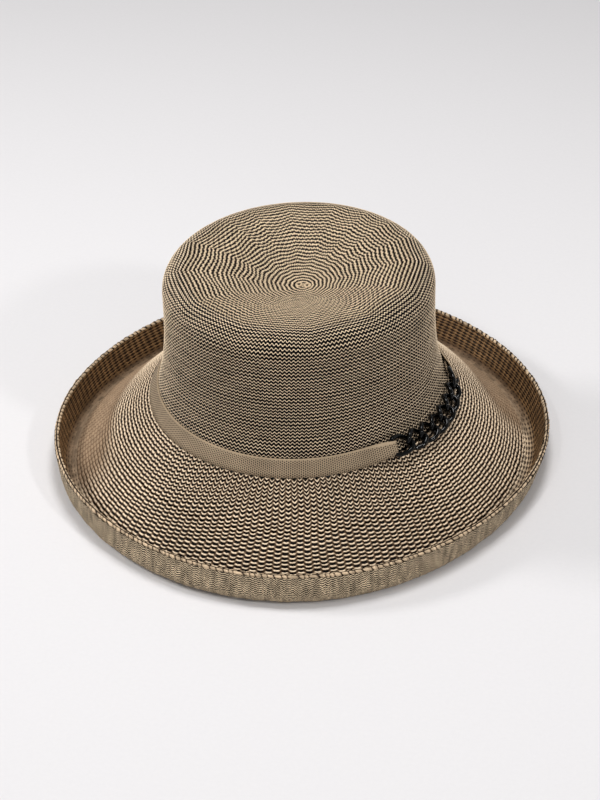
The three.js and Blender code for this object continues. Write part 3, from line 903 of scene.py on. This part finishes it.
class HAT_OT_rim(bpy.types.Operator):
    """Rolls the rope-like overcast edge over both layers of the brim"""
    bl_idname = "hat.rim"
    bl_label = "Rim edge"

    def execute(self, context):
        yarn = tape_yarn("Viscose tape yarn, overcast edge", "#c8b092", "#735f4b", "#241a13",
                         gap=0.26, tone_spread=0.6)

        def shape(across, down):
            t = np.pi - TAU * across
            turn = TAU * down
            section, centre, turn_end = rim_centre(t)
            # stitches slant over the edge, one row inside it and one outside, with a groove between
            angle = turn_end + np.pi / 2 + turn
            away = (turn + np.pi) % TAU - np.pi
            row = np.where(away > 0, 0.5, 0.0)
            slant = t / TAU * EDGE_STITCHES + row + 0.12 * away + 0.3 * ripple(t + row, 41, 90)
            bead = np.abs(np.sin(np.pi * slant)) ** 0.7
            groove = smooth(0.0, 0.5, np.abs(away))
            uneven = 1 + 0.3 * ripple(t + row, 43, 120)
            radius = RIM_ROLL * (0.5 + 0.36 * groove * bead * uneven)
            points = raised(section, centre + heading(angle) * radius[..., None])
            # toward the back the cords are drawn thinner in colour alone, so more of the painted dark shade
            # of the gaps shows
            full = np.clip(0.5 + 0.5 * groove * bead, 0, 1) - 0.3 * smooth(1.5, 2.4, np.abs(t))
            # the groove between the rows and the gaps between beads take the painted dark shade of the
            # yarn's gaps
            return points, np.stack([slant * 2, 0.5 * groove * (0.4 + 0.6 * bead), full], axis=-1)

        edge = shaped_grid("rim_edge_rope", EDGE_STITCHES * 7, 12, shape, wrapped=True)
        take_on(edge, "rim_edge", yarn)
        return {"FINISHED"}


class HAT_OT_knot(bpy.types.Operator):
    """Gathers the middle of the top into two small closing loops"""
    bl_idname = "hat.knot"
    bl_label = "Closing loops"

    def execute(self, context):
        yarn = tape_yarn("Viscose tape yarn, closing loops", "#cdb798", "#7d6851", "#0a0705", gap=0.24)
        seat = CREST - DISH_DEPTH

        def shape(across, down):
            t = np.pi - TAU * across
            r = 6.2 * down
            x = r * np.sin(t)
            y = -r * np.cos(t)
            domes = np.zeros_like(t)
            for centre in (-2.6, 2.8):
                distance = np.hypot((x - centre) / 2.4, y / 2.9)
                domes = np.maximum(domes, np.exp(-((distance - 0.72) / 0.24) ** 2))
            thread = 0.5 * np.exp(-(x / 0.5) ** 2) * np.exp(-(y / 3.0) ** 2)
            z = seat - 0.3 + 1.3 * domes + 0.7 * thread - 0.5 * smooth(0.85, 1.0, down)
            points = np.stack([x + CLOSING_X, y - TOP_FORWARD, z], axis=-1)
            # where the top lies flat round and between the loops, the stitch falls in a gap, painted near
            # black as shade
            fold = 0.5 * np.maximum(domes, thread)
            stitch = np.stack([x * 0.8, fold, np.ones_like(t)], axis=-1)
            return points, stitch

        knot = shaped_grid("closing_loops", 120, 30, shape)
        take_on(knot, "closing_knot", yarn)
        return {"FINISHED"}


def copied(node, name):
    """A merged copy of a solid, in quads, with its own mesh."""
    deselect()
    piece = bpy.data.objects[node].copy()
    piece.data = piece.data.copy()
    piece.name = name
    piece.data.name = name
    bpy.context.scene.collection.objects.link(piece)
    piece.hide_render = False
    piece.hide_viewport = False
    piece.select_set(True)
    bpy.context.view_layer.objects.active = piece
    edit_all(lambda: bpy.ops.mesh.remove_doubles(threshold=0.00001),
             lambda: bpy.ops.mesh.tris_convert_to_quads(face_threshold=3.14, shape_threshold=3.14))
    return piece


class HAT_OT_ribbon(bpy.types.Operator):
    """Lays the ribbon, with each end folded back round a link"""
    bl_idname = "hat.ribbon"
    bl_label = "Ribbon band"

    def execute(self, context):
        ribbon = knitted_ribbon("Knitted viscose ribbon")
        piece = copied("band", "ribbon_band")
        mesh = piece.data
        crease = mesh.attributes.new("crease_edge", "FLOAT", "EDGE")
        edges_faces = {}
        for face in mesh.polygons:
            for key in face.edge_keys:
                edges_faces.setdefault(key, []).append(face.normal)
        for edge in mesh.edges:
            normals = edges_faces.get(edge.key, [])
            sharp = len(normals) == 2 and normals[0].dot(normals[1]) < 0.5
            crease.data[edge.index].value = 1.0 if sharp else 0.0
        modifier = piece.modifiers.new("Smooth run", "SUBSURF")
        modifier.levels = 2
        modifier.render_levels = 2
        bpy.ops.object.modifier_apply(modifier=modifier.name)
        count = len(mesh.vertices)
        flat = np.empty(count * 3)
        piece.data.vertices.foreach_get("co", flat)
        flat = flat.reshape(-1, 3) / MM - CENTRING
        angle = np.arctan2(flat[:, 0] / HEAD[0], -flat[:, 1] / HEAD[1])
        angle = np.where(angle > np.radians(80), angle - TAU, angle)
        drop = (BAND_TOP - flat[:, 2]) / FOOT_HEIGHT
        stitch = np.stack([angle * BAND_RADIUS / RIBBON_COLUMN, drop, np.zeros(count)], axis=-1)
        attribute = piece.data.attributes.new("stitch", "FLOAT_VECTOR", "POINT")
        attribute.data.foreach_set("vector", stitch.astype(np.float32).ravel())
        bpy.ops.object.shade_smooth_by_angle(angle=0.9)
        take_on(piece, "band", ribbon)
        return {"FINISHED"}


class HAT_OT_chain(bpy.types.Operator):
    """Bends the curb chain's links from round wire and dips them in gloss black"""
    bl_idname = "hat.chain"
    bl_label = "Chain"

    def execute(self, context):
        enamel = black_enamel("Cast zinc, gloss black enamel")
        for number, place in enumerate(link_places()):
            held_start = number == 0
            held_end = number == LINK_COUNT - 1

            def shape(across, down):
                # the rings start a little past the link's tip, so that none falls on a tip exactly
                turn = TAU * across + 0.05
                at = link_ring(turn, held_start, held_end)
                along = link_ring(turn + 0.01, held_start, held_end) - link_ring(
                    turn - 0.01, held_start, held_end)
                along = along / np.linalg.norm(along, axis=-1, keepdims=True)
                outward = at - along * (at * along).sum(axis=-1, keepdims=True)
                outward = outward / np.linalg.norm(outward, axis=-1, keepdims=True)
                side = np.cross(along, outward)
                round_wire = TAU * down[:, None]
                wire = outward * np.cos(round_wire) + side * np.sin(round_wire)
                local = at + wire * (LINK_WIRE / 2 + LINK_ENAMEL)
                point, way, across_way, out = place
                points = point + local[:, 0:1] * way + local[:, 1:2] * across_way + local[:, 2:3] * out
                return points, np.stack([across, down, np.zeros_like(down)], axis=-1)

            name = f"link_{number + 1:02d}"
            link = shaped_grid(f"chain_{name}", 48, 12, shape, wrapped=True)
            take_on(link, name, enamel)
        return {"FINISHED"}


class HAT_OT_stage(bpy.types.Operator):
    """Sets the pale floor, the soft lights and the camera"""
    bl_idname = "hat.stage"
    bl_label = "Stage"

    def execute(self, context):
        deselect()
        bpy.ops.mesh.primitive_plane_add(size=1, location=(0, 0, 0))
        floor = context.object
        floor.name = "stage_floor"
        for vertex in floor.data.vertices:
            x = FLOOR_LEFT if vertex.co.x < 0 else FLOOR_RIGHT
            y = FLOOR_FRONT if vertex.co.y < 0 else FLOOR_BACK
            vertex.co = (x, y, FLOOR_HEIGHT)
        floor.data.materials.append(sweep_paper("Matt sweep paper"))
        for lamp in LAMPS:
            self.light(*lamp)
        world = bpy.data.worlds.new("Studio")
        world.use_nodes = True
        world.node_tree.nodes["Background"].inputs["Color"].default_value = (1, 1, 1, 1)
        world.node_tree.nodes["Background"].inputs["Strength"].default_value = WORLD_LIGHT
        context.scene.world = world
        context.scene.view_settings.view_transform = "Standard"
        self.camera(context)
        return {"FINISHED"}

    @staticmethod
    def light(name, place, size, power):
        deselect()
        bpy.ops.object.light_add(type="AREA", location=place)
        lamp = bpy.context.object
        lamp.name = name
        lamp.data.shape = "DISK"
        lamp.data.size = size
        lamp.data.energy = power
        lamp.rotation_euler = Vector(place).to_track_quat("Z", "Y").to_euler()

    @staticmethod
    def camera(context):
        elevation = np.radians(CAMERA_ELEVATION)
        azimuth = np.radians(CAMERA_AZIMUTH)
        roll = np.radians(CAMERA_ROLL)
        back = Vector((np.sin(azimuth) * np.cos(elevation), -np.cos(azimuth) * np.cos(elevation),
                       np.sin(elevation)))
        right = Vector((np.cos(azimuth), np.sin(azimuth), 0))
        up = back.cross(right)
        rolled = right * np.cos(roll) + up * np.sin(roll)
        upright = up * np.cos(roll) - right * np.sin(roll)
        target = Vector(CAMERA_TARGET) + Vector(CENTRING)
        place = (target + back * CAMERA_DISTANCE) * MM
        deselect()
        bpy.ops.object.camera_add()
        camera = context.object
        camera.matrix_world = Matrix.Translation(place) @ Matrix(
            (rolled, upright, back)).transposed().to_4x4()
        camera.data.sensor_fit = "AUTO"
        camera.data.sensor_width = SENSOR
        camera.data.lens = CAMERA_FOCAL * SENSOR / PICTURE_HEIGHT
        camera.data.shift_x = CAMERA_SHIFT[0] / PICTURE_HEIGHT
        camera.data.shift_y = CAMERA_SHIFT[1] / PICTURE_HEIGHT
        camera.data.clip_end = 50
        context.scene.camera = camera


class HAT_PT_panel(bpy.types.Panel):
    bl_idname = "HAT_PT_panel"
    bl_label = "Breton hat"
    bl_space_type = "VIEW_3D"
    bl_region_type = "UI"
    bl_category = "Hat"

    def draw(self, context):
        settings = context.scene.hat_settings
        for name in ("crown_waves", "brim_cells", "cord_relief", "wave_size"):
            self.layout.prop(settings, name)
        for operator in STEPS:
            self.layout.operator(operator.bl_idname)


STEPS = (HAT_OT_stage, HAT_OT_crown, HAT_OT_lining, HAT_OT_brim, HAT_OT_facing, HAT_OT_rim, HAT_OT_knot,
         HAT_OT_ribbon, HAT_OT_chain)
CLASSES = (HatSettings, *STEPS, HAT_PT_panel)


def register():
    for cls in CLASSES:
        bpy.utils.register_class(cls)
    bpy.types.Scene.hat_settings = PointerProperty(type=HatSettings)


def unregister():
    del bpy.types.Scene.hat_settings
    for cls in reversed(CLASSES):
        bpy.utils.unregister_class(cls)


def main():
    register()
    bpy.ops.hat.stage()
    bpy.ops.hat.crown()
    bpy.ops.hat.lining()
    bpy.ops.hat.brim()
    bpy.ops.hat.facing()
    bpy.ops.hat.rim()
    bpy.ops.hat.knot()
    bpy.ops.hat.ribbon()
    bpy.ops.hat.chain()


if __name__ == "__main__":
    main()
